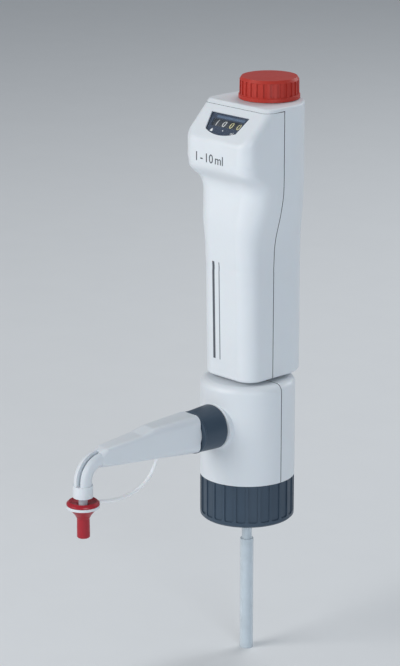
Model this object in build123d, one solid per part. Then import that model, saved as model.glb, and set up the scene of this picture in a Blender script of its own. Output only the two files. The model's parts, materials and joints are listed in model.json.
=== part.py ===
from build123d import *
import math
import os

# Bottle-top burette for 1 to 10 ml doses. Millimetres, +Z up, the display and discharge arm face -Y.
# The origin is the centre of the threaded collar's lower rim, on the axis of the bottle's neck.

# ---- bottle connection ----
COLLAR_R = 27.5
COLLAR_HEIGHT = 25.5
THREAD_CREST_R = 21.6
THREAD_ROOT_R = 22.9
THREAD_PITCH = 4.0
GRIP_PANELS = 24
SEAL_BOTTOM = 17.8
SEAL_TOP = 19.8

# ---- valve block ----
BLOCK_R = 27.75
BLOCK_BOTTOM = 25.6
BLOCK_TOP = 85.0
BLOCK_WALL = 2.2
SHELL_GAP = 0.5
PORT_Z = 60.0
CORE_TOP = 80.0
BLOCK_SCREW_Z = 66.0

# ---- pump ----
STROKE = 60.0
BORE_R = 7.285          # a 60 mm stroke in this bore gives 10 ml
GLASS_R = 8.75
GLASS_BOTTOM = 63.6
GLASS_TOP = 147.0
SLEEVE_R = 10.9
SLEEVE_TOP = 150.0
PISTON_BOTTOM = 66.0
PISTON_LENGTH = 13.0
ROD_R = 3.0
BRIDGE_Z = 203.0

# ---- upper housing ----
HOUSING_BOTTOM = 86.7
HEAD_TOP = 246.65
HEAD_FRONT = -8.95      # where the sloping display face meets the top
BACK_Y = 33.8
HOUSING_WALL = 2.2
# Plan sections, 6 mm apart from SHOULDER_START up: half width, front, front corner radius
HANDLE_FOOT = (20.3, -18.9, 10.0)
SHOULDER_START = 150.0
SHOULDER_STEP = 6.0
SHOULDER_SECTIONS = [
    (20.5, -20.1, 10.5), (20.6, -20.3, 10.6), (20.8, -20.5, 10.8), (21.2, -20.8, 11.3),
    (22.2, -21.2, 12.2), (23.6, -21.0, 13.2), (24.8, -20.2, 14.0), (25.7, -19.3, 14.2),
    (26.2, -18.9, 13.8), (26.4, -21.0, 11.5), (26.4, -26.6, 9.3), (26.4, -27.9, 9.0),
]
HEAD_START = 216.0
FOOT_ROUND = 1.6
TOP_ROUND = 1.3
BROW_ROUND = 5.0
WINDOW_MIDDLE = (0, -19.3, 236.3)
WINDOW_TOP = 6.7
WINDOW_BOTTOM = -4.7
WINDOW_BOW = 2.9
WINDOW_WIDE = 15.2
WINDOW_NARROW = 12.2
# Each screw's x and z, and how far its boss reaches to the front wall and to the rear wall
HOUSING_SCREWS = [(-15.0, 118.0, -15.3, 22.5), (-15.0, 190.0, -15.3, 22.5), (-7.8, 213.0, -19.0, 31.3)]
HOUSING_SCREW_SEAT = 20.0

# ---- volume setting ----
SPINDLE_Y = 16.3
SPINDLE_R = 4.0
SPINDLE_BOTTOM = 142.0
STOP_ROD_X = 13.0
STOP_ROD_Y = 14.0
STOP_ROD_R = 2.0
STOP_HEAD_Z = 216.0
NUT_HEIGHT = 8.0
NUT_TOP = STOP_HEAD_Z - STROKE - 0.4
KNOB_R = 17.6
KNOB_BOTTOM = 246.95
KNOB_TOP = 259.2
KNOB_RIBS = 27

# ---- counter and its gears ----
WHEEL_R = 7.5
WHEEL_PITCH = 5.8
AXLE_Y = -11.1
AXLE_Z = 230.3
GEAR_MODULE = 0.8
GEAR_X = 17.0
GEAR_WIDTH = 2.4
AXLE_TEETH = 12
IDLER_TEETH = 24
CROWN_TEETH = 40
PINION_TEETH = 8
CROWN_R = 13.0
CROSS_Z = 235.6
PINION_R = 2.6
PINION_START = 11.7
PINION_END = 14.3
TIE_BARS = [(8.6, -6.0), (-2.0, -9.6)]      # from the counter's axle
WHEEL_NAMES = ["hundredths_wheel", "tenths_wheel", "ones_wheel", "tens_wheel"]

# ---- discharge ----
NUT_END_Y = -46.0
ARM_Z = 61.3
BEND_Y = -117.4
BEND_R = 11.1
NOZZLE_Y = BEND_Y - BEND_R
NOZZLE_BOTTOM = 41.5
# Sections of the arm from the nut outwards: y, half width, underside, top, corner radius
ARM_SECTIONS = [
    (-46.5, 9.0, 49.3, 71.8, 4.5), (-58.7, 8.6, 50.4, 71.6, 4.6), (-79.0, 7.2, 52.8, 71.2, 3.8),
    (-87.5, 6.6, 53.9, 69.0, 2.2), (-113.5, 5.2, 56.4, 67.2, 2.0), (BEND_Y, 4.9, 56.4, 66.3, 4.2),
]
TUBE_R = 2.6
TUBE_TIP = 36.6
CAP_TOP = 39.3
CAP_BOTTOM = 17.8
STRAP_R = 1.1
STRAP_ROUTE = [
    (0, -72.5, 51.6), (0, -75.2, 43.4), (0, -84.5, 36.2),
    (0, -97.0, 33.5), (0, -109.0, 33.9), (0, -118.2, 36.0),
]

# ---- filling side ----
TUBE_UPPER_R = 3.0
TUBE_LOWER_R = 4.0
TUBE_LOWER_END = -85.0

X_AXIS = (1, 0, 0)


def tube(outer, inner, low, high):
    """A round tube on the Z axis."""
    return cyl(outer, low, high) - cyl(inner, low - 1, high + 1)


def cyl(radius, low, high, x=0, y=0):
    """A round bar standing from low to high."""
    return Pos(x, y, (low + high) / 2) * Cylinder(radius, high - low)


def cyl_x(radius, low, high, y, z):
    """A round bar along X."""
    return Pos((low + high) / 2, y, z) * Rot(0, 90, 0) * Cylinder(radius, high - low)


def cyl_y(radius, low, high, z, x=0):
    """A round bar along Y, from y = low to y = high."""
    return Pos(x, (low + high) / 2, z) * Rot(90, 0, 0) * Cylinder(radius, high - low)


def block(x0, x1, y0, y1, z0, z1):
    """A box between two corners."""
    middle = Pos((x0 + x1) / 2, (y0 + y1) / 2, (z0 + z1) / 2)
    return middle * Box(x1 - x0, y1 - y0, z1 - z0)


def lathe(points):
    """A solid turned about the Z axis from (radius, height) points."""
    outline = Polyline([(r, 0, z) for r, z in points], close=True)
    return revolve(make_face(outline), Axis.Z, 360)


def lathe_y(points, z):
    """A solid turned about the line x = 0 at height z that runs along Y, from (radius, y) points."""
    outline = Polyline([(0, y, z + r) for r, y in points], close=True)
    return revolve(make_face(outline), Axis((0, 0, z), (0, 1, 0)), 360)


def keep(name, shape):
    """Writes one named piece."""
    export_step(shape, f"parts/{name}.step")


# ---------------------------------------------------------------- bottle connection
def thread_collar():
    ring = lathe([
        (THREAD_ROOT_R + 0.4, 0), (COLLAR_R - 1.0, 0), (COLLAR_R, 1.0), (COLLAR_R, COLLAR_HEIGHT - 0.5),
        (COLLAR_R - 0.5, COLLAR_HEIGHT), (18.5, COLLAR_HEIGHT), (18.5, 22.2), (THREAD_ROOT_R, 22.2),
        (THREAD_ROOT_R, 0.4),
    ])
    panel = Pos(COLLAR_R + 1.3, 0, 14.6) * Box(4.0, 5.5, 23.4)
    panel = fillet(panel.edges().filter_by(Axis.X).group_by(Axis.Z)[0], 1.2)
    for k in range(GRIP_PANELS):
        ring -= Rot(0, 0, (k + 0.5) * 360 / GRIP_PANELS) * panel
    path = Helix(pitch=THREAD_PITCH, height=11.0, radius=THREAD_CREST_R + 0.5)
    start = path @ 0
    half = 1.1
    ridge = Polyline([
        (THREAD_ROOT_R + 0.3, 0, -half), (THREAD_CREST_R, 0, -0.5), (THREAD_CREST_R, 0, 0.5),
        (THREAD_ROOT_R + 0.3, 0, half),
    ], close=True)
    thread = sweep(make_face(ridge), path=path, is_frenet=True)
    return ring + Pos(0, 0, 3.4 - start.Z) * thread


def neck_seal():
    return tube(20.6, 13.0, SEAL_BOTTOM, SEAL_TOP)


# ---------------------------------------------------------------- valve block
def block_envelope(radius, low, high, round_top):
    body = cyl(radius, low, high)
    return fillet(body.edges().group_by(Axis.Z)[-1], round_top)


def block_shells():
    """The block's front and rear covers, split along the plane y = 0."""
    skin = block_envelope(BLOCK_R, BLOCK_BOTTOM, BLOCK_TOP, 4.5)
    skin -= block_envelope(BLOCK_R - BLOCK_WALL, BLOCK_BOTTOM - 3, BLOCK_TOP - BLOCK_WALL, 2.6)
    skin -= cyl(SLEEVE_R + 0.3, BLOCK_TOP - 5, BLOCK_TOP + 1)
    skin -= cyl(STOP_ROD_R + 0.3, BLOCK_TOP - 5, BLOCK_TOP + 1, STOP_ROD_X, STOP_ROD_Y)
    lip = cyl_y(13.5, -28.2, -18.0, PORT_Z) & cyl(BLOCK_R + 2.5, 40, 80)
    lip -= cyl(BLOCK_R - BLOCK_WALL, 40, 80)
    lip = chamfer(lip.edges().group_by(Axis.Y)[0], 0.5)
    front = skin & block(-40, 40, -40, -SHELL_GAP / 2, 0, 100)
    front = front + lip - cyl_y(11.0, -40, -10, PORT_Z)
    rear = skin & block(-40, 40, SHELL_GAP / 2, 40, 0, 100)
    for x in (-18, 18):
        front += block_post(x, -1)
        rear += block_post(x, 1)
        rear -= cyl_y(3.0, 14.0, 30.0, BLOCK_SCREW_Z, x)
    return front, rear


def block_post(x, side):
    """A screw boss that stands inside a cover, at the parting plane."""
    low, high = sorted((side * SHELL_GAP / 2, side * 20.0))
    post = cyl_y(3.2, low, high, BLOCK_SCREW_Z, x) & cyl(BLOCK_R - 0.5, 40, 80)
    if side < 0:
        return post - cyl_y(1.3, -9.0, 0.0, BLOCK_SCREW_Z, x)
    return post - cyl_y(1.7, 0.0, 30.0, BLOCK_SCREW_Z, x)


def block_screws():
    return Compound([screw_y(x, BLOCK_SCREW_Z, -7.5, 14.0, 1.25, 2.5) for x in (-18, 18)])


def screw_y(x, z, tip, seat, radius, head_radius):
    """A pan-head screw along Y: the tip is towards -Y and the head beyond the seat."""
    screw = cyl_y(radius, tip, seat, z, x) + cyl_y(head_radius, seat, seat + 2.0, z, x)
    drive = block(x - 1.6, x + 1.6, seat + 1.0, seat + 3, z - 0.35, z + 0.35)
    drive += block(x - 0.35, x + 0.35, seat + 1.0, seat + 3, z - 1.6, z + 1.6)
    return (screw - drive).solids()[0]


def valve_core():
    core = lathe([
        (0, 19.9), (20.6, 19.9), (20.6, 21.9), (18.2, 21.9), (18.2, BLOCK_BOTTOM),
        (19.0, BLOCK_BOTTOM), (19.0, 54.0), (16.0, 56.5), (12.5, 56.5), (12.5, CORE_TOP), (0, CORE_TOP),
    ])
    core += cyl_y(9.0, -22.0, 0.0, PORT_Z)
    core += Pos(0, 0, 74) * block(5, 19, 8, 20, -4, 4) & cyl(24, 0, 100)
    core -= cyl(8.0, 19.0, 46.0)
    core -= cyl(2.5, 45.0, GLASS_BOTTOM + 1)
    core -= cyl(GLASS_R + 0.05, GLASS_BOTTOM, CORE_TOP + 1)
    core -= cyl_y(2.0, -23.0, 0.0, PORT_Z - 1.5)
    core -= cyl_y(7.05, -23.0, -14.0, PORT_Z)
    core -= cyl(STOP_ROD_R, 70.0, 90.0, STOP_ROD_X, STOP_ROD_Y)
    core -= cyl_x(2.0, 10.0, 25.0, 0, 36.0)
    return core


def filling_valve_seat():
    """The screw-in valve body under the block, with the ball's seat and a ribbed spigot."""
    body = lathe([
        (0, 10.0), (10.5, 10.0), (10.5, SEAL_BOTTOM - 0.3), (7.95, SEAL_BOTTOM - 0.3),
        (7.95, 45.0), (0, 45.0),
    ])
    body -= cyl(3.2, 30.0, 46.0)
    body -= cyl(1.8, 20.0, 31.0)
    body -= cyl(TUBE_UPPER_R + 0.02, 9.0, 22.0)
    for k in range(3):
        body -= Rot(0, 0, k * 60) * block(-11, 11, -0.8, 0.8, 9.0, 11.5)
    return body


def ball(x, y, z, radius):
    return Pos(x, y, z) * Sphere(radius)


def glass_cylinder():
    return tube(GLASS_R, BORE_R, GLASS_BOTTOM, GLASS_TOP)


def protective_sleeve():
    """The white sleeve around the glass, up to the guide on its top."""
    return tube(SLEEVE_R, 9.1, CORE_TOP + 0.1, SLEEVE_TOP - 2)


def sleeve_guide():
    """The guide cap on top of the sleeve and the glass."""
    return lathe([
        (ROD_R + 0.3, GLASS_TOP + 0.2), (8.6, GLASS_TOP + 0.2), (8.6, SLEEVE_TOP - 1.9),
        (SLEEVE_R, SLEEVE_TOP - 1.9), (SLEEVE_R, SLEEVE_TOP), (SLEEVE_R - 0.6, SLEEVE_TOP + 0.8),
        (ROD_R + 0.3, SLEEVE_TOP + 0.8),
    ])


def stop_rod():
    rod = cyl(STOP_ROD_R, 70.0, STOP_HEAD_Z, STOP_ROD_X, STOP_ROD_Y)
    head = cyl(3.6, STOP_HEAD_Z, STOP_HEAD_Z + 2.6, STOP_ROD_X, STOP_ROD_Y)
    return rod + head


def vent_plug():
    """The small cap that closes the venting port at the block's side."""
    shoulder = BLOCK_R - BLOCK_WALL - 4.6
    return cyl_x(1.95, 12.0, shoulder, 0, 36.0) + cyl_x(3.4, shoulder, shoulder + 2.0, 0, 36.0)


def discharge_port():
    """The threaded spigot that carries the union nut, with the discharge valve's chamber."""
    spigot = lathe_y([
        (0, -14.0), (7.0, -14.0), (7.0, -22.3), (10.6, -22.3), (10.6, -38.0), (0, -38.0),
    ], PORT_Z)
    spigot -= cyl_y(5.0, -39.0, -24.0, PORT_Z)
    spigot -= cyl_y(2.6, -25.0, -18.0, PORT_Z)
    spigot -= cyl_y(1.6, -19.0, -13.0, PORT_Z - 1.5)
    for k in range(5):
        groove = Pos(0, -25.6 - 2.4 * k, PORT_Z) * Rot(90, 0, 0) * Torus(10.9, 0.6)
        spigot -= groove
    return spigot


# ---------------------------------------------------------------- filling tubes
def filling_tube_upper():
    return tube(TUBE_UPPER_R, 2.2, TUBE_LOWER_END + 11.0, 21.9)


def filling_tube_lower():
    """The outer, sliding half of the filling tube, cut at a slant at its foot."""
    hose = tube(TUBE_LOWER_R, TUBE_UPPER_R + 0.1, TUBE_LOWER_END, -16.0)
    foot = Pos(0, 0, TUBE_LOWER_END) * Rot(0, 30, 0) * Pos(0, 0, -6.5) * Box(30, 30, 10)
    return hose - foot


# ---------------------------------------------------------------- discharge arm
def arm_section(y, half_width, low, high, radius):
    """A rounded rectangle across the arm."""
    plane = Plane(origin=(0, y, (low + high) / 2), x_dir=X_AXIS, z_dir=(0, -1, 0))
    return plane * RectangleRounded(2 * half_width, high - low, radius)


def discharge_arm():
    """The white moulded arm: a round neck, a flat-sided tapering body, a bent nozzle with a sight slot."""
    sections = [arm_section(*place) for place in ARM_SECTIONS]
    arm = loft(sections[:3], ruled=True)
    for k in range(2, len(sections) - 1):
        arm += loft(sections[k:k + 2], ruled=True)
    arm += lathe_y([
        (0, -38.3), (10.5, -38.3), (10.5, -43.8), (9.2, -43.8), (9.2, -46.6), (0, -46.6),
    ], PORT_Z)
    arm += bent_bar(5.0, BEND_Y + 3.0, 47.5)
    arm += cyl(5.6, NOZZLE_BOTTOM, 48.5, 0, NOZZLE_Y)
    return arm


def cut_tube_way(arm):
    """The tube's channel through the arm, and the slot that shows it along the outside of the bend."""
    arm -= bent_bar(TUBE_R + 0.02, -30.0, 30.0)
    centre_z = ARM_Z - BEND_R
    ring = cyl_x(BEND_R + 7.0, 0.15, 2.65, BEND_Y, centre_z)
    ring -= cyl_x(BEND_R + 1.2, 0.0, 3.0, BEND_Y, centre_z)
    slot = ring & block(-1, 4, BEND_Y - 30, BEND_Y, centre_z - 1.9, centre_z + 30)
    return arm - slot


def bent_bar(radius, start_y, end_z):
    """A round bar along the discharge path: level from start_y, round the bend, and down to end_z."""
    path = FilletPolyline((0, start_y, ARM_Z), (0, NOZZLE_Y, ARM_Z), (0, NOZZLE_Y, end_z), radius=BEND_R)
    return sweep(Plane(origin=path @ 0, z_dir=path % 0) * Circle(radius), path=path)


def discharge_tube():
    """The bent inner tube, a running fit in the arm, with a free end above the cap's floor."""
    return bent_bar(TUBE_R, -38.4, TUBE_TIP) - bent_bar(1.3, -37.0, TUBE_TIP - 1)


def union_nut():
    """The tapered nut that holds the discharge arm on its spigot."""
    return lathe_y([
        (10.95, -28.6), (12.7, -28.6), (13.0, -29.1), (12.9, -32.0), (12.2, -44.4), (12.4, -44.7),
        (12.4, -45.6), (12.0, NUT_END_Y), (9.5, NUT_END_Y), (9.5, -44.1), (10.95, -44.1),
    ], PORT_Z)


# ---------------------------------------------------------------- closure cap and strap
def closure_cap():
    """The push-on cap: dished flange, groove for the strap ring, cone and grip stem."""
    cap = lathe([
        (0, CAP_BOTTOM), (3.3, CAP_BOTTOM), (3.7, CAP_BOTTOM + 0.5), (3.6, 29.0), (4.6, 31.0),
        (8.0, 35.2), (8.0, 37.0), (9.2, 37.0), (9.4, 37.5), (9.2, 38.2), (8.0, CAP_TOP),
        (6.6, 38.2), (4.2, 37.6), (3.05, 37.2), (3.05, 30.0), (0, 30.0),
    ])
    for k in range(6):
        cap -= Rot(0, 0, k * 60) * Pos(4.4, 0, 22) * Box(1.6, 4, 12)
    return Pos(0, NOZZLE_Y, 0) * cap


def strap_ring():
    """The strap's loop round the cap, with a short lug that the strap runs into."""
    ring = Pos(0, NOZZLE_Y, 0) * tube(9.3, 8.05, 35.4, 36.9)
    lug_end = Vector(*STRAP_ROUTE[-1])
    back = (Vector(*STRAP_ROUTE[-1]) - Vector(*STRAP_ROUTE[-2])).normalized()
    lug = Plane(origin=lug_end, z_dir=back) * Pos(0, 0, 0.8) * Cylinder(0.5, 1.6)
    return ring + (lug - Pos(0, NOZZLE_Y, 0) * cyl(8.6, 30, 40))


def strap_tube():
    points = [Vector(*p) for p in STRAP_ROUTE]
    radii = []
    for before, corner, after in zip(points, points[1:], points[2:]):
        run_in = corner - before
        run_out = after - corner
        turn = math.radians(run_in.get_angle(run_out))
        radii.append(0.45 * min(run_in.length, run_out.length) / math.tan(turn / 2))
    print("strap radii", [round(r, 1) for r in radii])
    path = FilletPolyline(points, radius=radii)
    print("strap length", round(path.length, 2))
    start = Plane(origin=points[0], z_dir=points[1] - points[0])
    return sweep(start * Circle(STRAP_R), path=path)


def strap_anchor():
    """The plug under the arm that the strap grows out of."""
    top = Vector(*STRAP_ROUTE[0])
    along = (Vector(*STRAP_ROUTE[0]) - Vector(*STRAP_ROUTE[1])).normalized()
    return Plane(origin=top, z_dir=along) * Pos(0, 0, 1.3) * Cone(STRAP_R, 2.0, 2.6)


# ---------------------------------------------------------------- upper housing
def housing_outline(height, half_width, front, corner, back):
    """One plan section: straight front and sides, rounded front corners, half-round back."""
    w, f, r = half_width, front, corner
    middle = back - w
    lines = Curve() + [
        Line((-(w - r), f), (w - r, f)),
        corner_arc((w - r, f), (w, f + r), r),
        Line((w, f + r), (w, middle)),
        ThreePointArc((w, middle), (0, middle + w), (-w, middle)),
        Line((-w, middle), (-w, f + r)),
        corner_arc((-w, f + r), (-(w - r), f), r),
    ]
    return Pos(0, 0, height) * make_face(lines)


def corner_arc(start, end, radius):
    """A quarter-round convex corner about the point level with both of its ends."""
    cx = start[0] if abs(start[0]) < abs(end[0]) else end[0]
    cy = end[1] if abs(start[0]) < abs(end[0]) else start[1]
    sx = math.copysign(1, start[0] + end[0])
    half = radius * math.sqrt(0.5)
    return ThreePointArc(start, (cx + sx * half, cy - half), end)


def slope_wedge(inset):
    """Everything in front of the sloping display face, or of a plane set back from it."""
    top_y = HEAD_FRONT + inset * math.sqrt(2)
    outline = Polyline([
        (0, top_y + 10, HEAD_TOP + 10), (0, top_y - 40, HEAD_TOP - 40), (0, HEAD_FRONT - 60, HEAD_TOP + 10),
    ], close=True)
    return extrude(make_face(outline), amount=60, both=True)


def housing_body():
    """The upper housing's outside: handle, swelling shoulder, and head with its sloping face."""
    sections = []
    for k, plan in enumerate(SHOULDER_SECTIONS):
        sections.append(housing_outline(SHOULDER_START + SHOULDER_STEP * k, *plan, BACK_Y))
    foot = housing_outline(HOUSING_BOTTOM, *HANDLE_FOOT, BACK_Y)
    handle = loft([foot, sections[0]], ruled=True)
    handle = fillet(handle.edges().group_by(Axis.Z)[0], FOOT_ROUND)
    crown = housing_outline(HEAD_START, *SHOULDER_SECTIONS[-1], BACK_Y)
    head = cut_slope(extrude(crown, amount=HEAD_TOP - HEAD_START), 0.0)
    head = fillet(head.edges().group_by(Axis.Z)[-1], TOP_ROUND)
    return handle + loft(sections) + head


def cut_slope(head, inset):
    """Cuts the sloping display face, or a plane set back from it, and rounds its lower edges."""
    head -= slope_wedge(inset)
    top = head.bounding_box().max.Z
    brow = [edge for edge in head.edges() if lies_on_slope(edge, inset) and (edge @ 0.5).Z < top - 1]
    return fillet(brow, BROW_ROUND - inset)


def lies_on_slope(edge, inset):
    """Whether an edge lies in the plane of the display face, or in one set back from it."""
    plane = window_plane()
    return all(abs(plane.to_local_coords(edge @ t).Z + inset) < 0.01 for t in (0, 0.25, 0.5, 0.75, 1))


def housing_cavity():
    """The hollow inside the housing: the handle's well, the throat, and the head behind the display."""
    w, f, r = SHOULDER_SECTIONS[-1]
    inner_back = BACK_Y - HOUSING_WALL
    well = extrude(housing_outline(HOUSING_BOTTOM + 2.4, 18.0, -16.6, 7.5, inner_back), amount=108.0)
    throat = extrude(housing_outline(196.0, 23.8, -16.6, 9.0, inner_back), amount=19.0)
    crown = housing_outline(213.5, w - HOUSING_WALL, f + HOUSING_WALL, r - HOUSING_WALL, inner_back)
    head = extrude(crown, amount=HEAD_TOP - HOUSING_WALL - 213.5)
    return well + throat + cut_slope(head, HOUSING_WALL)


def side_profile(shift):
    """What lies behind the parting line of the housing's two shells, seen from the side."""
    narrow = 0.3 * shift
    outline = Polyline([
        (0, 0.2 + shift, 80), (0, 0.2 + shift, 163), (0, 2.0 + shift, 197), (0, 2.0 + shift, 244.5 + shift),
        (0, -6.5, 244.5 + narrow), (0, -20, 244.5 + narrow), (0, -20, 260), (0, 60, 260), (0, 60, 80),
    ], close=True)
    return extrude(make_face(outline), amount=60, both=True)


def window_plane():
    """The display face's plane, with its origin in the middle of the window."""
    return Plane(origin=WINDOW_MIDDLE, x_dir=X_AXIS, z_dir=(0, -1, 1))


def window_shape(grow, low, high):
    """The display window, a trapezoid with a bowed lower edge, between two depths of the slope."""
    top, bottom = WINDOW_TOP + grow, WINDOW_BOTTOM - grow
    wide, narrow = WINDOW_WIDE + grow, WINDOW_NARROW + grow
    lines = Curve() + [
        Line((-wide, top), (wide, top)),
        Line((wide, top), (narrow, bottom)),
        ThreePointArc((narrow, bottom), (0, bottom - WINDOW_BOW), (-narrow, bottom)),
        Line((-narrow, bottom), (-wide, top)),
    ]
    face = make_face(lines)
    return window_plane() * Pos(0, 0, low) * extrude(face, amount=high - low)


def housing_shells():
    """The housing's front shell, with the window, and its rear shell."""
    skin = housing_body() - housing_cavity()
    skin -= cyl(SLEEVE_R + 0.3, HOUSING_BOTTOM - 1, HOUSING_BOTTOM + 4)
    skin -= cyl(STOP_ROD_R + 0.4, HOUSING_BOTTOM - 1, HOUSING_BOTTOM + 4, STOP_ROD_X, STOP_ROD_Y)
    front = skin - side_profile(-SHELL_GAP / 2)
    front -= window_shape(0.0, -3.5, 1.0)
    front -= window_shape(0.8, -3.5, -0.6)
    rear = skin & side_profile(SHELL_GAP / 2)
    rear -= cyl(6.2, HEAD_TOP - 4, HEAD_TOP + 1, 0, SPINDLE_Y)
    shelf = block(-7.5, 7.5, 11.3, BACK_Y - 1.0, 136.0, 139.0)
    rear += shelf - cyl(SPINDLE_R + 0.1, 130, 145, 0, SPINDLE_Y)
    for x, z, front_end, rear_end in HOUSING_SCREWS:
        front += cyl_y(2.8, front_end, 0.8, z, x) - cyl_y(1.2, -9.0, 2.0, z, x)
        rear += cyl_y(2.8, 2.4, rear_end, z, x)
        rear -= cyl_y(1.5, 0.0, 40.0, z, x)
        rear -= cyl_y(2.4, HOUSING_SCREW_SEAT, 40.0, z, x)
    return front, rear


def housing_screws():
    """The three screws that hold the rear shell on the front shell."""
    return Compound([screw_y(x, z, -7.0, HOUSING_SCREW_SEAT, 1.15, 2.2) for x, z, _, _ in HOUSING_SCREWS])


def window_mask():
    """The dark bezel plate with its reading slot, set behind the clear lens."""
    slot = window_plane() * Pos(0, 1.05, -1.6) * Box(23.2, 4.9, 3)
    return window_shape(0.55, -1.95, -1.25) - slot


def window_lens():
    """The clear pane: it stands in the opening and has a wider flange behind."""
    return window_shape(-0.12, -0.9, -0.15) + window_shape(0.55, -1.15, -0.75)


# ---------------------------------------------------------------- pump drive inside the housing
def piston_rod():
    top = PISTON_BOTTOM + PISTON_LENGTH
    rod = cyl(ROD_R, top, BRIDGE_Z + 8.0)
    return rod + cyl(2.0, PISTON_BOTTOM + 3.0, top)


def piston():
    """The piston, with two grooves for its seals and a socket for the rod."""
    top = PISTON_BOTTOM + PISTON_LENGTH
    body = lathe([
        (0, PISTON_BOTTOM), (5.8, PISTON_BOTTOM), (6.9, PISTON_BOTTOM + 1.1),
        (6.9, PISTON_BOTTOM + 2.0), (6.0, PISTON_BOTTOM + 2.0), (6.0, PISTON_BOTTOM + 4.0),
        (6.9, PISTON_BOTTOM + 4.0), (6.9, top - 4.0), (6.0, top - 4.0), (6.0, top - 2.0),
        (6.9, top - 2.0), (6.9, top), (0, top),
    ])
    return body - cyl(2.0, PISTON_BOTTOM + 3.0, top + 1)


def piston_seals():
    """Two lip rings in the piston's grooves, a running fit in the glass bore."""
    top = PISTON_BOTTOM + PISTON_LENGTH
    lower = tube(BORE_R - 0.03, 6.0, PISTON_BOTTOM + 2.0, PISTON_BOTTOM + 4.0)
    upper = tube(BORE_R - 0.03, 6.0, top - 4.0, top - 2.0)
    return Compound([lower.solids()[0], upper.solids()[0]])


def rod_bridge():
    """The plate across the housing that lifts the piston rod."""
    plate = block(-17.4, 17.4, -11.0, 7.5, BRIDGE_Z, BRIDGE_Z + 3.5)
    plate = fillet(plate.edges().filter_by(Axis.Z), 4.0)
    plate += cyl(6.0, BRIDGE_Z - 3.0, BRIDGE_Z)
    return plate - cyl(ROD_R, BRIDGE_Z - 4, BRIDGE_Z + 5)


def rod_nut():
    nut = extrude(Pos(0, 0, BRIDGE_Z + 3.5) * RegularPolygon(5.0, 6), amount=3.6)
    return nut - cyl(ROD_R, BRIDGE_Z, BRIDGE_Z + 10)


# ---------------------------------------------------------------- volume setting
def volume_knob():
    """The ribbed knob: a hollow cap with a plain rim, and a hub on the spindle."""
    height = KNOB_TOP - KNOB_BOTTOM
    shell = lathe([
        (15.4, 0), (KNOB_R, 0), (KNOB_R, 2.0), (KNOB_R - 0.5, 2.4), (KNOB_R - 0.6, height - 1.6),
        (KNOB_R - 1.6, height), (0, height), (0, 0.8), (6.6, 0.8), (6.6, height - 2.2),
        (15.4, height - 2.2),
    ])
    rib_length = height - 2.6 - 1.7
    groove = Pos(KNOB_R - 0.3, 0, 2.6 + rib_length / 2) * Rot(0, -1, 0) * Box(1.7, 2.2, rib_length)
    for k in range(KNOB_RIBS):
        shell -= Rot(0, 0, k * 360 / KNOB_RIBS) * groove
    shell -= cyl(SPINDLE_R - 1.0, 0, height - 3.0)
    return Pos(0, SPINDLE_Y, KNOB_BOTTOM) * shell


def volume_spindle():
    """The threaded spindle: plain neck through the top bush, thread grooves below."""
    neck_r = SPINDLE_R - 1.02
    spindle = lathe([
        (0, SPINDLE_BOTTOM - 8), (2.6, SPINDLE_BOTTOM - 8), (2.6, SPINDLE_BOTTOM - 2),
        (SPINDLE_R, SPINDLE_BOTTOM), (SPINDLE_R, KNOB_BOTTOM), (neck_r, KNOB_BOTTOM),
        (neck_r, KNOB_TOP - 3.2), (0, KNOB_TOP - 3.2),
    ])
    for k in range(30):
        spindle -= Pos(0, 0, SPINDLE_BOTTOM + 3.0 + 3.0 * k) * Torus(SPINDLE_R + 0.25, 0.75)
    return Pos(0, SPINDLE_Y, 0) * spindle


def top_bush():
    """The flanged bearing of the spindle in the housing's top plate."""
    low = HEAD_TOP - HOUSING_WALL
    bush = lathe([
        (SPINDLE_R + 0.06, low - 1.5), (8.0, low - 1.5), (8.0, low - 0.05), (6.15, low - 0.05),
        (6.15, HEAD_TOP), (SPINDLE_R + 0.06, HEAD_TOP),
    ])
    return Pos(0, SPINDLE_Y, 0) * bush


def stop_nut():
    """The nut that rides the spindle and, by its arm, the stop rod. It sets the stroke."""
    low = NUT_TOP - NUT_HEIGHT
    nut = cyl(5.2, low, NUT_TOP, 0, SPINDLE_Y)
    nut += block(0, STOP_ROD_X, STOP_ROD_Y - 2.6, STOP_ROD_Y + 3.6, low, NUT_TOP)
    nut += cyl(4.4, low, NUT_TOP, STOP_ROD_X, STOP_ROD_Y)
    nut -= cyl(SPINDLE_R + 0.1, low - 1, NUT_TOP + 1, 0, SPINDLE_Y)
    return nut - cyl(STOP_ROD_R + 0.35, low - 1, NUT_TOP + 1, STOP_ROD_X, STOP_ROD_Y)


# ---------------------------------------------------------------- counter and gears
def involute(base_r, radius):
    """The angle between an involute's start and its point at a radius."""
    pressure = math.acos(base_r / radius)
    return math.tan(pressure) - pressure


def gear_outline(teeth, module):
    """An involute spur gear's outline with shortened teeth, one tooth pointing along +Y."""
    backlash = 0.16
    pitch_r = module * teeth / 2
    base_r = pitch_r * math.cos(math.radians(20))
    tip_r, root_r = pitch_r + 0.85 * module, pitch_r - 1.15 * module
    start_r = max(base_r, root_r + 0.05)
    half_pitch = math.pi / (2 * teeth) - backlash / (2 * pitch_r) + involute(base_r, pitch_r)
    flank = [start_r + (tip_r - start_r) * k / 4 for k in range(5)]
    points = []
    for tooth in range(teeth):
        middle = 2 * math.pi * tooth / teeth
        rise = [(root_r, -half_pitch)] + [(r, -half_pitch + involute(base_r, r)) for r in flank]
        fall = [(r, half_pitch - involute(base_r, r)) for r in reversed(flank)] + [(root_r, half_pitch)]
        points += [(r * math.sin(middle + a), r * math.cos(middle + a)) for r, a in rise + fall]
    return make_face(Polyline([*points], close=True))


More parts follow.
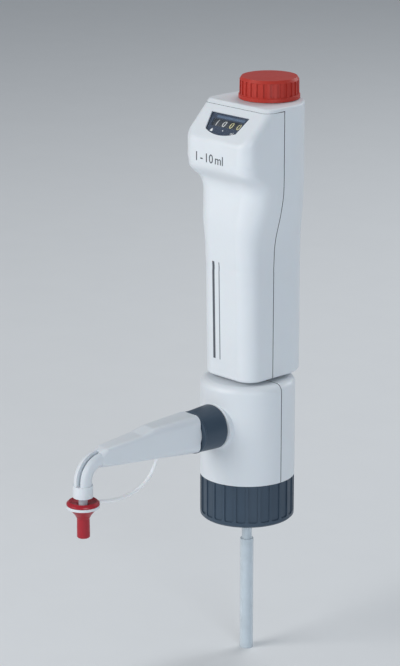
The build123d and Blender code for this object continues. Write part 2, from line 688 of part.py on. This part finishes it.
def spur_gear(teeth, y, z, turn):
    """A spur gear on an axis along X. turn, in degrees, leans its first tooth from +Z towards +Y."""
    plane = Plane(origin=(GEAR_X, y, z), x_dir=(0, 1, 0), z_dir=X_AXIS)
    return extrude(plane * Rot(0, 0, -turn) * gear_outline(teeth, GEAR_MODULE), amount=GEAR_WIDTH)


def idler_place():
    """The idler's centre, in mesh with both the cross shaft's gear and the axle's gear."""
    reach = GEAR_MODULE * (AXLE_TEETH + IDLER_TEETH) / 2
    dy, dz = SPINDLE_Y - AXLE_Y, CROSS_Z - AXLE_Z
    span = math.hypot(dy, dz)
    lift = math.sqrt(reach ** 2 - (span / 2) ** 2)
    return (AXLE_Y + dy / 2 + lift * dz / span, AXLE_Z + dz / 2 - lift * dy / span)


def tooth_towards(y0, z0, y1, z1):
    """The turn from +Z towards +Y that points a gear's first tooth from one centre to another."""
    return math.degrees(math.atan2(y1 - y0, z1 - z0))


def axle_gear_turn():
    iy, iz = idler_place()
    return tooth_towards(AXLE_Y, AXLE_Z, iy, iz)


def idler_turn():
    """A gap of the idler faces the axle gear's tooth."""
    iy, iz = idler_place()
    return tooth_towards(iy, iz, AXLE_Y, AXLE_Z) + 180.0 / IDLER_TEETH


def cross_gear_turn():
    """Set so that the cross gear meshes with the idler as the idler stands."""
    iy, iz = idler_place()
    line = tooth_towards(iy, iz, SPINDLE_Y, CROSS_Z)
    phase = ((line - idler_turn()) * IDLER_TEETH / 360.0) % 1.0
    back = tooth_towards(SPINDLE_Y, CROSS_Z, iy, iz)
    return back + (phase + 0.5) * 360.0 / AXLE_TEETH


def crown_gear():
    """The face gear under the knob, its teeth pointing down at the cross shaft's pinion."""
    tip, root = CROSS_Z + PINION_R - 0.45, CROSS_Z + PINION_R + 0.75
    gear = tube(14.5, SPINDLE_R, root, root + 2.2)
    pitch = 2 * math.pi * CROWN_R / CROWN_TEETH
    tooth = Polyline([
        (11.6, -0.42 * pitch, root + 0.3), (11.6, 0.42 * pitch, root + 0.3),
        (11.6, 0.11 * pitch, tip), (11.6, -0.11 * pitch, tip),
    ], close=True)
    bar = extrude(make_face(tooth), amount=2.8, dir=X_AXIS)
    for k in range(CROWN_TEETH):
        gear += Rot(0, 0, (k + 0.5) * 360 / CROWN_TEETH) * bar
    return Pos(0, SPINDLE_Y, 0) * gear


def cross_shaft():
    """The cross shaft with its crown pinion and its spur gear."""
    shaft = cyl_x(1.2, 9.0, GEAR_X + GEAR_WIDTH + 0.6, SPINDLE_Y, CROSS_Z)
    shaft += cyl_x(PINION_R - 0.75, PINION_START, PINION_END, SPINDLE_Y, CROSS_Z)
    leaf = block(PINION_START, PINION_END, -0.42, 0.42, 1.0, PINION_R + 0.4)
    for k in range(PINION_TEETH):
        shaft += Pos(0, SPINDLE_Y, CROSS_Z) * Rot(k * 360 / PINION_TEETH, 0, 0) * leaf
    return shaft + spur_gear(AXLE_TEETH, SPINDLE_Y, CROSS_Z, cross_gear_turn())


def idler_gear():
    y, z = idler_place()
    wheel = spur_gear(IDLER_TEETH, y, z, idler_turn()) - cyl_x(1.55, GEAR_X - 1, GEAR_X + 4, y, z)
    for k in range(5):
        turn = math.radians(72 * k)
        wheel -= cyl_x(1.9, GEAR_X - 1, GEAR_X + 4, y + 5.0 * math.sin(turn), z + 5.0 * math.cos(turn))
    return wheel


def counter_axle():
    """The counter's axle with its driving gear."""
    gear = spur_gear(AXLE_TEETH, AXLE_Y, AXLE_Z, axle_gear_turn())
    return gear + cyl_x(1.25, -14.5, GEAR_X + GEAR_WIDTH + 0.6, AXLE_Y, AXLE_Z)


def digit_wheel(position, bore):
    """One number wheel. position counts from the right: 0 is hundredths."""
    middle = (1.5 - position) * WHEEL_PITCH
    low, high = middle - 0.5 * WHEEL_PITCH + 0.15, middle + 0.5 * WHEEL_PITCH - 0.15
    wheel = cyl_x(WHEEL_R, low, high, AXLE_Y, AXLE_Z)
    recess = cyl_x(WHEEL_R - 1.4, low - 1, low + 1.2, AXLE_Y, AXLE_Z)
    wheel -= recess - cyl_x(2.6, low - 2, high, AXLE_Y, AXLE_Z)
    for k in range(10):
        turn = math.radians(36 * k + 18)
        y, z = AXLE_Y + WHEEL_R * math.sin(turn), AXLE_Z + WHEEL_R * math.cos(turn)
        wheel -= cyl_x(0.28, high - 0.9, high + 1, y, z)
    return wheel - cyl_x(bore, low - 1, high + 1, AXLE_Y, AXLE_Z)


def counter_frame():
    """Side plates and tie bars that carry the counter, the idler pin and the cross shaft."""
    iy, iz = idler_place()
    left = frame_plate(-13.4, -12.0)
    right = frame_plate(14.9, 16.2)
    web = Polyline([
        (14.9, AXLE_Y - 3, AXLE_Z + 3), (14.9, SPINDLE_Y + 3, CROSS_Z + 2.2),
        (14.9, SPINDLE_Y + 3, CROSS_Z - 3.4), (14.9, iy + 5, iz - 3.5), (14.9, AXLE_Y, AXLE_Z - 5),
    ], close=True)
    right += extrude(make_face(web), amount=1.3, dir=X_AXIS)
    right -= cyl_x(1.45, 14, 17, SPINDLE_Y, CROSS_Z)
    right += cyl_x(1.5, 15.5, GEAR_X + GEAR_WIDTH + 0.8, iy, iz)
    frame = left + right
    for dy, dz in TIE_BARS:
        frame += cyl_x(1.3, -13.4, 16.2, AXLE_Y + dy, AXLE_Z + dz)
    return frame - cyl_x(1.32, -20, 30, AXLE_Y, AXLE_Z)


def frame_plate(low, high):
    """One side plate of the counter: a disc with an ear for each tie bar."""
    plate = cyl_x(6.5, low, high, AXLE_Y, AXLE_Z)
    middle = Pos((low + high) / 2, AXLE_Y, AXLE_Z)
    for dy, dz in TIE_BARS:
        plate += cyl_x(2.4, low, high, AXLE_Y + dy, AXLE_Z + dz)
        lean = math.degrees(math.atan2(dz, dy))
        reach = math.hypot(dy, dz)
        plate += middle * Rot(lean, 0, 0) * Pos(0, reach / 2, 0) * Box(high - low, reach, 4.4)
    return plate


def main():
    os.makedirs("parts", exist_ok=True)
    keep("thread_collar", thread_collar())
    keep("neck_seal", neck_seal())

    front, rear = block_shells()
    keep("block_front_shell", front)
    keep("block_rear_shell", rear)
    keep("block_screws", block_screws())
    keep("valve_core", valve_core())
    keep("filling_valve", filling_valve_seat())
    keep("filling_tube_upper", filling_tube_upper())
    keep("glass_cylinder", glass_cylinder())
    keep("protective_sleeve", protective_sleeve())
    keep("sleeve_guide", sleeve_guide())
    keep("stop_rod", stop_rod())
    keep("vent_plug", vent_plug())
    keep("discharge_port", discharge_port())
    keep("filling_ball", ball(0, 0, 32.6, 2.9))
    keep("discharge_ball", ball(0, -20.4, PORT_Z, 2.2))
    keep("filling_tube_lower", filling_tube_lower())

    keep("discharge_arm", cut_tube_way(discharge_arm()))
    keep("discharge_tube", discharge_tube())
    keep("strap_anchor", strap_anchor())
    keep("union_nut", union_nut())
    keep("closure_cap", closure_cap())
    keep("strap_ring", strap_ring())
    keep("cap_strap", strap_tube())

    front, rear = housing_shells()
    keep("housing_front_shell", front)
    keep("housing_rear_shell", rear)
    keep("housing_screws", housing_screws())
    keep("window_mask", window_mask())
    keep("window_lens", window_lens())
    keep("piston_rod", piston_rod())
    keep("piston", piston())
    keep("piston_seals", piston_seals())
    keep("rod_bridge", rod_bridge())
    keep("rod_nut", rod_nut())
    keep("top_bush", top_bush())
    keep("counter_frame", counter_frame())

    keep("volume_knob", volume_knob())
    keep("volume_spindle", volume_spindle())
    keep("crown_gear", crown_gear())
    keep("stop_nut", stop_nut())
    keep("cross_shaft", cross_shaft())
    keep("idler_gear", idler_gear())
    keep("counter_axle", counter_axle())
    for position, name in enumerate(WHEEL_NAMES):
        keep(name, digit_wheel(position, 1.25 if position == 0 else 1.32))


main()
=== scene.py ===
import json
import math

import bmesh
import bpy
from mathutils import Matrix, Vector
from mathutils.bvhtree import BVHTree


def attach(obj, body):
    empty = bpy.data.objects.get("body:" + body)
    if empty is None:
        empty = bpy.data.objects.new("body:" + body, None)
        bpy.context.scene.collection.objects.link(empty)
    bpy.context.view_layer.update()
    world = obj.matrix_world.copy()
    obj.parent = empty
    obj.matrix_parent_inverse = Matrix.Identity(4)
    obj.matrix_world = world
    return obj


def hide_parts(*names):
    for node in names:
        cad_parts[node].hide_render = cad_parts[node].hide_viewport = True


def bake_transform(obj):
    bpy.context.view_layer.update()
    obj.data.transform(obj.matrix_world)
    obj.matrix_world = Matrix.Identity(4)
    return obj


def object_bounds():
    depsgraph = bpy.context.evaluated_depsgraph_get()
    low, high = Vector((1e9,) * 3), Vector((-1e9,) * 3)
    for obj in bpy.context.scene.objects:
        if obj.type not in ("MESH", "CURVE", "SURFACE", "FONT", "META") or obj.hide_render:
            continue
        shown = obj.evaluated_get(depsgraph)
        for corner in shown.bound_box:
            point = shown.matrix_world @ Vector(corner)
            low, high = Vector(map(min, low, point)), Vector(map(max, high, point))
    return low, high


MM = 0.001

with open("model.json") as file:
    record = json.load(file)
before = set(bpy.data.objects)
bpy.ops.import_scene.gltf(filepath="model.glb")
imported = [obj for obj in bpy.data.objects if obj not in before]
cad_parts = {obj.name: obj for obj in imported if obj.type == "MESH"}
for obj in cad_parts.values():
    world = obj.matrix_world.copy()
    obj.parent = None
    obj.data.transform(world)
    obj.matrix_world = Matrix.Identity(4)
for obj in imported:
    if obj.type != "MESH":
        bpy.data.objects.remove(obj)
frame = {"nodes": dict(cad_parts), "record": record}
cad_low, cad_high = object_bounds()


# ---------------------------------------------------------------- camera
CAMERA_TURN = math.radians(46.15)
CAMERA_TILT = math.radians(16.4)
CAMERA_DISTANCE = 1.657
CAMERA_ASIDE = -0.0277
CAMERA_ABOVE = 0.1057
CAMERA_LENS = 151.8


def make_camera():
    """A long lens that looks down at the front and the right side."""
    back = Vector((math.sin(CAMERA_TURN) * math.cos(CAMERA_TILT),
                   -math.cos(CAMERA_TURN) * math.cos(CAMERA_TILT), math.sin(CAMERA_TILT)))
    right = Vector((math.cos(CAMERA_TURN), math.sin(CAMERA_TURN), 0))
    up = back.cross(right)
    data = bpy.data.cameras.new("camera")
    data.lens = CAMERA_LENS
    data.sensor_width = 36
    data.clip_start = 0.01
    data.clip_end = 50
    camera = bpy.data.objects.new("camera", data)
    bpy.context.scene.collection.objects.link(camera)
    turn = Matrix((right, up, back)).transposed()
    camera.matrix_world = turn.to_4x4()
    camera.location = back * CAMERA_DISTANCE + right * CAMERA_ASIDE + up * CAMERA_ABOVE
    bpy.context.scene.camera = camera


make_camera()


# ---------------------------------------------------------------- materials
def new_material(name):
    material = bpy.data.materials.new(name)
    material.use_nodes = True
    nodes = material.node_tree.nodes
    return material, nodes, material.node_tree.links, nodes["Principled BSDF"]


def noise_field(nodes, links, scale, detail, roughness=0.5):
    """A noise texture in the object's own coordinates."""
    place = nodes.new("ShaderNodeTexCoord")
    noise = nodes.new("ShaderNodeTexNoise")
    noise.inputs["Scale"].default_value = scale
    noise.inputs["Detail"].default_value = detail
    noise.inputs["Roughness"].default_value = roughness
    links.new(place.outputs["Object"], noise.inputs["Vector"])
    return noise


def ramp_from(nodes, links, source, low, high, start, end):
    """Turns a noise value into a colour between two others."""
    ramp = nodes.new("ShaderNodeValToRGB")
    ramp.color_ramp.elements[0].position = start
    ramp.color_ramp.elements[1].position = end
    ramp.color_ramp.elements[0].color = (*low, 1)
    ramp.color_ramp.elements[1].color = (*high, 1)
    links.new(source, ramp.inputs["Fac"])
    return ramp


def range_from(nodes, links, source, low, high):
    """Turns a noise value into a number between two others."""
    spread = nodes.new("ShaderNodeMapRange")
    spread.inputs["From Min"].default_value = 0.3
    spread.inputs["From Max"].default_value = 0.7
    spread.inputs["To Min"].default_value = low
    spread.inputs["To Max"].default_value = high
    links.new(source, spread.inputs["Value"])
    return spread


def add_bump(nodes, links, shader, source, strength, distance):
    bump = nodes.new("ShaderNodeBump")
    bump.inputs["Strength"].default_value = strength
    bump.inputs["Distance"].default_value = distance
    links.new(source, bump.inputs["Height"])
    links.new(bump.outputs["Normal"], shader.inputs["Normal"])


def scaled(colour, factor):
    return tuple(c * factor for c in colour)


def moulded(name, colour, rough, variation=0.05, grain=900, bump=0.12, coat=0.0, scatter=0.0, gloss=0.5):
    """Moulded plastic: fine tooled grain, faint flow marks, and handling that dulls it in patches."""
    material, nodes, links, shader = new_material(name)
    flow = noise_field(nodes, links, 28, 4, 0.55)
    tint = ramp_from(nodes, links, flow.outputs["Fac"], scaled(colour, 1 - variation),
                     scaled(colour, 1 + variation * 0.6), 0.35, 0.65)
    links.new(tint.outputs["Color"], shader.inputs["Base Color"])
    handling = noise_field(nodes, links, 75, 6, 0.65)
    dull = range_from(nodes, links, handling.outputs["Fac"], rough * 0.86, min(1.0, rough * 1.16))
    links.new(dull.outputs["Result"], shader.inputs["Roughness"])
    fine = noise_field(nodes, links, grain, 2)
    add_bump(nodes, links, shader, fine.outputs["Fac"], bump, 0.00006)
    shader.inputs["Coat Weight"].default_value = coat
    shader.inputs["Coat Roughness"].default_value = 0.12
    shader.inputs["Subsurface Weight"].default_value = scatter
    shader.inputs["Subsurface Scale"].default_value = 0.002
    shader.inputs["Specular IOR Level"].default_value = gloss
    return material


def metal(name, colour, rough, stretch):
    """Turned or ground metal with fine lines along one direction."""
    material, nodes, links, shader = new_material(name)
    shader.inputs["Metallic"].default_value = 1.0
    place = nodes.new("ShaderNodeTexCoord")
    lines = nodes.new("ShaderNodeMapping")
    lines.inputs["Scale"].default_value = stretch
    noise = nodes.new("ShaderNodeTexNoise")
    noise.inputs["Scale"].default_value = 60
    noise.inputs["Detail"].default_value = 3
    links.new(place.outputs["Object"], lines.inputs["Vector"])
    links.new(lines.outputs["Vector"], noise.inputs["Vector"])
    tint = ramp_from(nodes, links, noise.outputs["Fac"], scaled(colour, 0.86), colour, 0.3, 0.7)
    links.new(tint.outputs["Color"], shader.inputs["Base Color"])
    grain = range_from(nodes, links, noise.outputs["Fac"], rough * 0.8, rough * 1.25)
    links.new(grain.outputs["Result"], shader.inputs["Roughness"])
    add_bump(nodes, links, shader, noise.outputs["Fac"], 0.15, 0.00004)
    return material


def clear(name, colour, rough, alpha, spread, coat=0.6):
    """A thin clear wall: mostly see-through, with a gloss and slight streaks."""
    material, nodes, links, shader = new_material(name)
    streaks = noise_field(nodes, links, 140, 3)
    tint = ramp_from(nodes, links, streaks.outputs["Fac"], scaled(colour, 0.93), colour, 0.3, 0.7)
    links.new(tint.outputs["Color"], shader.inputs["Base Color"])
    body = range_from(nodes, links, streaks.outputs["Fac"], alpha, alpha + spread)
    links.new(body.outputs["Result"], shader.inputs["Alpha"])
    haze = range_from(nodes, links, streaks.outputs["Fac"], rough, rough * 1.6)
    links.new(haze.outputs["Result"], shader.inputs["Roughness"])
    shader.inputs["IOR"].default_value = 1.49
    shader.inputs["Coat Weight"].default_value = coat
    shader.inputs["Coat Roughness"].default_value = 0.03
    return material


WHITE = (0.71, 0.75, 0.79)
MATERIALS = {
    "white_plastic": moulded("white_plastic", WHITE, rough=0.42, variation=0.018, grain=1100, bump=0.10,
                             scatter=0.04),
    "collar_grey": moulded("collar_grey", (0.042, 0.069, 0.104), rough=0.40, variation=0.10, grain=800,
                           bump=0.22, gloss=0.4),
    "knob_red": moulded("knob_red", (0.46, 0.036, 0.024), rough=0.46, variation=0.06, grain=1000,
                        scatter=0.02, gloss=0.3),
    "cap_red": moulded("cap_red", (0.36, 0.012, 0.024), rough=0.32, variation=0.07, grain=1000,
                       coat=0.1, scatter=0.02, gloss=0.4),
    "window_dark": moulded("window_dark", (0.013, 0.026, 0.060), rough=0.38, variation=0.12, bump=0.15),
    "lens_clear": clear("lens_clear", (0.55, 0.66, 0.80), rough=0.03, alpha=0.03, spread=0.02, coat=0.0),
    "glass": clear("glass", (0.86, 0.93, 0.92), rough=0.03, alpha=0.16, spread=0.05),
    "ptfe": moulded("ptfe", (0.80, 0.81, 0.80), rough=0.48, variation=0.03, grain=600, bump=0.10,
                    scatter=0.25),
    "tube_clear": clear("tube_clear", (0.72, 0.81, 0.88), rough=0.14, alpha=0.66, spread=0.03),
    "ceramic": moulded("ceramic", (0.83, 0.84, 0.86), rough=0.14, variation=0.02, grain=700, bump=0.03,
                       coat=0.4),
    "steel": metal("steel", (0.62, 0.63, 0.65), rough=0.28, stretch=(14, 14, 1)),
    "black_plastic": moulded("black_plastic", (0.018, 0.018, 0.022), rough=0.48, variation=0.15, bump=0.2),
    "brass": metal("brass", (0.72, 0.52, 0.22), rough=0.30, stretch=(1, 14, 14)),
    "gear_plastic": moulded("gear_plastic", (0.72, 0.70, 0.62), rough=0.46, grain=700, bump=0.15),
}
STRAP_WHITE = moulded("strap_white", (0.90, 0.91, 0.92), rough=0.36, variation=0.02, grain=700, bump=0.10,
                      coat=0.1, scatter=0.05)
PRINT_DARK = moulded("print_dark", (0.085, 0.095, 0.115), rough=0.55, variation=0.12, grain=1500, bump=0.1)
PRINT_SOFT = moulded("print_soft", (0.20, 0.22, 0.25), rough=0.55, variation=0.10, grain=1500, bump=0.1)
PRINT_WHITE = moulded("print_white", (0.86, 0.87, 0.86), rough=0.5, variation=0.04, grain=1500, bump=0.1)
PRINT_YELLOW = moulded("print_yellow", (0.86, 0.80, 0.42), rough=0.5, grain=1500, bump=0.1)
# Painted shade: a dark grey put on the shells' parting faces, standing in for the shade inside the gap.
SEAM_PAINTED_SHADE = moulded("seam_painted_shade", (0.045, 0.050, 0.058), rough=0.7, variation=0.10, bump=0.15)
STRIP_BLUE = moulded("strip_blue", (0.085, 0.135, 0.22), rough=0.35, variation=0.10)


# ---------------------------------------------------------------- cap strap, a free cord
STRAP_R = 1.1 * MM
STRAP_ROUTE = [
    (0, -0.0725, 0.0516), (0, -0.0752, 0.0434), (0, -0.0845, 0.0362),
    (0, -0.0970, 0.0335), (0, -0.1090, 0.0339), (0, -0.1182, 0.0360),
]


def strap_curve(bevel):
    data = bpy.data.curves.new("cap_strap_line", "CURVE")
    data.dimensions = "3D"
    data.resolution_u = 16
    line = data.splines.new("NURBS")
    line.points.add(len(STRAP_ROUTE) - 1)
    for point, place in zip(line.points, STRAP_ROUTE):
        point.co = (*place, 1)
    line.order_u = 3
    line.use_endpoint_u = True
    data.bevel_depth = bevel
    data.bevel_resolution = 6
    data.use_fill_caps = bevel > 0
    return data


def curve_mesh(data, name):
    """The mesh that a curve makes, as a new object."""
    holder = bpy.data.objects.new(name + "_curve", data)
    bpy.context.scene.collection.objects.link(holder)
    bpy.context.view_layer.update()
    mesh = bpy.data.meshes.new_from_object(holder.evaluated_get(bpy.context.evaluated_depsgraph_get()))
    bpy.data.objects.remove(holder)
    mesh.name = name
    return mesh


def add_object(name, mesh, material):
    piece = bpy.data.objects.new(name, mesh)
    bpy.context.scene.collection.objects.link(piece)
    mesh.materials.clear()
    mesh.materials.append(material)
    return piece


def make_strap():
    """The soft white strap from the arm's underside to the cap's ring."""
    centre = [v.co.copy() for v in curve_mesh(strap_curve(0), "strap_centre").vertices]
    strap = add_object("strap", curve_mesh(strap_curve(STRAP_R), "strap"), STRAP_WHITE)
    strap.data.shade_smooth()
    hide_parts("cap_strap")
    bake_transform(strap)


make_strap()


# ---------------------------------------------------------------- the CAD nodes' finishes
def finish_nodes():
    slots = {part["node"]: part["material_slot"] for part in frame["record"]["subparts"]}
    for name, node in frame["nodes"].items():
        node.data.materials.clear()
        node.data.materials.append(MATERIALS[slots[name]])


finish_nodes()


PARTING_BEND = 163 * MM
PARTING_BEND_HEIGHT = 34 * MM
PARTING_BELOW = 0.2 * MM
PARTING_STEP = 1.8 * MM
PARTING_TOP = 244.5 * MM
PARTING_TOP_BACK = 2.3 * MM
BLOCK_TOP = 86 * MM
PARTING_NEAR = 0.4 * MM
FACING = 0.9


def parting_y(z):
    """Where the housing's parting line lies, front to back, at a height."""
    rise = min(1.0, max(0.0, (z - PARTING_BEND) / PARTING_BEND_HEIGHT))
    return PARTING_BELOW + PARTING_STEP * rise


def on_parting(place, normal):
    """Whether a face of a shell is one of those that meet its other half."""
    faces_along_y = abs(normal.y) > FACING
    if place.z < BLOCK_TOP:
        return faces_along_y and abs(place.y) < PARTING_NEAR
    upright = faces_along_y and abs(place.y - parting_y(place.z)) < PARTING_NEAR
    level = abs(normal.z) > FACING and abs(place.z - PARTING_TOP) < PARTING_NEAR
    return upright or (level and place.y < PARTING_TOP_BACK)


def shade_seams():
    """Gives the shells' meeting faces a dark grey: painted shade in place of the shade that falls inside the
    closed joint.
    """
    for name in ("housing_front_shell", "housing_rear_shell", "block_front_shell", "block_rear_shell"):
        node = frame["nodes"][name]
        node.data.materials.append(SEAM_PAINTED_SHADE)
        turn = node.matrix_world.to_3x3()
        for face in node.data.polygons:
            if on_parting(node.matrix_world @ face.center, turn @ face.normal):
                face.material_index = 1


shade_seams()


# ---------------------------------------------------------------- counter digits
WHEEL_R = 7.5 * MM
WHEEL_PITCH = 5.8 * MM
AXLE_Y = -11.1 * MM
AXLE_Z = 230.3 * MM
DIGIT_HEIGHT = 4.1 * MM
DIGIT_WIDTH = 0.95
DIGIT_SLANT = 0.20
DIGIT_STEP = math.radians(36)
WINDOW_ANGLE = math.radians(45)
DIGIT_STRIP = 0.45 * MM
PRINT_STRIP = 0.9 * MM
PRINT_PROUD = 0.04 * MM
FONT_CAP = 0.70


def glyphs(text, height, width=1.0, slant=0.0, weight=0.0, gap=1.0):
    """Flat lettering as a bmesh, centred on the origin, of that cap height."""
    data = bpy.data.curves.new("glyphs", "FONT")
    data.body = text
    data.resolution_u = 4
    data.offset = weight
    data.space_word = gap
    mesh = curve_mesh(data, "glyphs")
    bm = bmesh.new()
    bm.from_mesh(mesh)
    bpy.data.meshes.remove(mesh)
    across = [v.co.x for v in bm.verts]
    middle = (min(across) + max(across)) / 2
    scale = height / FONT_CAP
    for v in bm.verts:
        x, y = v.co.x - middle, v.co.y - FONT_CAP / 2
        v.co = Vector(((x + slant * y) * scale * width, y * scale, 0))
    return bm


def slice_up(bm, axis, step):
    """Cuts flat lettering into strips so that it can bend."""
    values = [v.co[axis] for v in bm.verts]
    place = min(values) + step
    normal = Vector([1 if k == axis else 0 for k in range(3)])
    while place < max(values):
        cut = bm.verts[:] + bm.edges[:] + bm.faces[:]
        bmesh.ops.bisect_plane(bm, geom=cut, plane_co=normal * place, plane_no=normal)
        place += step


def thicken(bm, depth_of):
    """Gives lettering a thickness: depth_of says where a vertex of the back goes."""
    bmesh.ops.triangulate(bm, faces=bm.faces[:])
    front = bm.faces[:]
    made = bmesh.ops.extrude_face_region(bm, geom=front)
    for v in made["geom"]:
        if isinstance(v, bmesh.types.BMVert):
            v.co = depth_of(v.co)
    bmesh.ops.recalc_face_normals(bm, faces=bm.faces[:])


def to_piece(bm, name, material):
    mesh = bpy.data.meshes.new(name)
    bm.to_mesh(mesh)
    bm.free()
    return add_object(name, mesh, material)


def wheel_digits(position, shown, body, material):
    """Ten digits round one number wheel. position counts from the right."""
    middle = (1.5 - position) * WHEEL_PITCH
    whole = bmesh.new()
    for digit in range(10):
        bm = glyphs(str(digit), DIGIT_HEIGHT, DIGIT_WIDTH, DIGIT_SLANT, weight=0.004)
        slice_up(bm, 1, DIGIT_STRIP)
        for v in bm.verts:
            angle = WINDOW_ANGLE + DIGIT_STEP * (digit - shown) - v.co.y / WHEEL_R
            radius = WHEEL_R + PRINT_PROUD
            v.co = Vector((middle + v.co.x, AXLE_Y - radius * math.sin(angle),
                           AXLE_Z + radius * math.cos(angle)))

        def inward(place):
            out = Vector((0, place.y - AXLE_Y, place.z - AXLE_Z)).normalized()
            return place - out * 2 * PRINT_PROUD

        thicken(bm, inward)
        part = bpy.data.meshes.new("digit")
        bm.to_mesh(part)
        bm.free()
        whole.from_mesh(part)
        bpy.data.meshes.remove(part)
    piece = to_piece(whole, body + "_digits", material)
    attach(piece, body)


wheel_digits(0, 0, "hundredths", PRINT_YELLOW)
wheel_digits(1, 0, "tenths", PRINT_YELLOW)
wheel_digits(2, 0, "ones", PRINT_WHITE)
wheel_digits(3, 1, "tens", PRINT_WHITE)


# ---------------------------------------------------------------- print behind the window
WINDOW_MIDDLE = Vector((0, -19.3, 236.3)) * MM
WINDOW_OUT = Vector((0, -1, 1)).normalized()
WINDOW_UP = Vector((0, 1, 1)).normalized()
MASK_FRONT = -1.25 * MM


def on_window(x, y, out):
    """A point by its place in the window's plane."""
    return WINDOW_MIDDLE + Vector((x, 0, 0)) + WINDOW_UP * y + WINDOW_OUT * out


def window_print(bm, name, x, y, material):
    top = MASK_FRONT + PRINT_PROUD
    for v in bm.verts:
        v.co = on_window(x + v.co.x, y + v.co.y, top)
    thicken(bm, lambda place: place - WINDOW_OUT * 2 * PRINT_PROUD)
    piece = to_piece(bm, name, material)
    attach(piece, "housing")


def flat_shape(points):
    bm = bmesh.new()
    bm.faces.new([bm.verts.new((x * MM, y * MM, 0)) for x, y in points])
    return bm


def disc_points(radius, count=20):
    return [(radius * math.cos(2 * math.pi * k / count), radius * math.sin(2 * math.pi * k / count))
            for k in range(count)]


window_print(glyphs("ml", 1.7 * MM, 0.95, 0.15), "unit_mark", 8.0 * MM, -4.3 * MM, PRINT_WHITE)
window_print(flat_shape(disc_points(0.36)), "decimal_dot", 0.2 * MM, -3.6 * MM, PRINT_WHITE)
window_print(flat_shape([(-1.1, -0.9), (1.1, -0.9), (0.25, 1.0), (-0.25, 1.0)]), "index_mark",
             -8.2 * MM, -4.3 * MM, PRINT_WHITE)
window_print(flat_shape([(-10.9, -0.8), (10.9, -0.8), (11.2, 0.8), (-11.2, 0.8)]), "window_strip",
             0.9 * MM, 4.9 * MM, STRIP_BLUE)


# ---------------------------------------------------------------- print on the housing
def surface_tree(*names):
    """One search tree over several CAD nodes' surfaces, in the row frame."""
    points, faces = [], []
    for name in names:
        node = frame["nodes"][name]
        start = len(points)
        points += [node.matrix_world @ v.co for v in node.data.vertices]
        faces += [[start + k for k in face.vertices] for face in node.data.polygons]
    return BVHTree.FromPolygons(points, faces)


HOUSING_SURFACE = surface_tree("housing_front_shell")
AHEAD_OF_HOUSING = -60 * MM
STRIPE_LENGTH = 58.0
STRIPE_MIDDLE = 126.5 * MM


def stripe(width):
    """A plain upright stripe."""
    half, reach = width / 2, STRIPE_LENGTH / 2
    return flat_shape([(-half, -reach), (half, -reach), (half, reach), (-half, reach)])


def front_print(bm, name, x, z, material):
    """Lays flat lettering on the housing's front, with its up along +Z."""
    slice_up(bm, 0, PRINT_STRIP)
    slice_up(bm, 1, PRINT_STRIP)
    bmesh.ops.triangulate(bm, faces=bm.faces[:])
    for v in bm.verts:
        start = Vector((x + v.co.x, AHEAD_OF_HOUSING, z + v.co.y))
        hit = HOUSING_SURFACE.ray_cast(start, Vector((0, 1, 0)))[0]
        v.co = hit - Vector((0, PRINT_PROUD, 0))
    thicken(bm, lambda place: place + Vector((0, 2 * PRINT_PROUD, 0)))
    piece = to_piece(bm, name, material)
    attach(piece, "housing")


front_print(glyphs("1 - 10 ml", 5.1 * MM, weight=0.006, gap=0.5), "dose_range",
            -3.3 * MM, 217.5 * MM, PRINT_DARK)
front_print(stripe(1.8), "stripe_wide", -8.0 * MM, STRIPE_MIDDLE, PRINT_DARK)
front_print(stripe(0.7), "stripe_narrow", -3.4 * MM, STRIPE_MIDDLE, PRINT_SOFT)


# ---------------------------------------------------------------- floor and light
LIGHT_TARGET = Vector((0, 0, 0.12))
FLOOR_HALF = 6.0


def make_floor():
    bm = bmesh.new()
    corners = [(-1, -1), (1, -1), (1, 1), (-1, 1)]
    bm.faces.new([bm.verts.new((x * FLOOR_HALF, y * FLOOR_HALF, cad_low[2])) for x, y in corners])
    pale = moulded("floor", (0.74, 0.76, 0.78), rough=0.85, variation=0.006, grain=60, bump=0.05, gloss=0.05)
    floor = to_piece(bm, "floor", pale)


def area_light(name, place, size, power, colour):
    """A soft round light that points at the object's middle."""
    data = bpy.data.lights.new(name, "AREA")
    data.shape = "DISK"
    data.size = size
    data.energy = power
    data.color = colour
    light = bpy.data.objects.new(name, data)
    bpy.context.scene.collection.objects.link(light)
    light.location = place
    light.rotation_euler = (LIGHT_TARGET - Vector(place)).to_track_quat("-Z", "Y").to_euler()


def make_world():
    world = bpy.data.worlds.new("studio")
    world.use_nodes = True
    background = world.node_tree.nodes["Background"]
    background.inputs["Color"].default_value = (0.80, 0.86, 0.93, 1)
    background.inputs["Strength"].default_value = 0.30
    bpy.context.scene.world = world


make_floor()
make_world()
area_light("key", (-0.65, -1.85, 1.05), size=1.5, power=28, colour=(1.0, 0.985, 0.96))
area_light("side", (1.7, -0.9, 0.5), size=0.9, power=12, colour=(0.88, 0.94, 1.0))
area_light("top", (-0.3, 0.9, 1.6), size=0.7, power=7, colour=(1.0, 1.0, 1.0))
area_light("back", (0.2, 2.0, 0.9), size=0.9, power=9, colour=(0.95, 0.98, 1.0))
bpy.context.scene.view_settings.view_transform = "Standard"
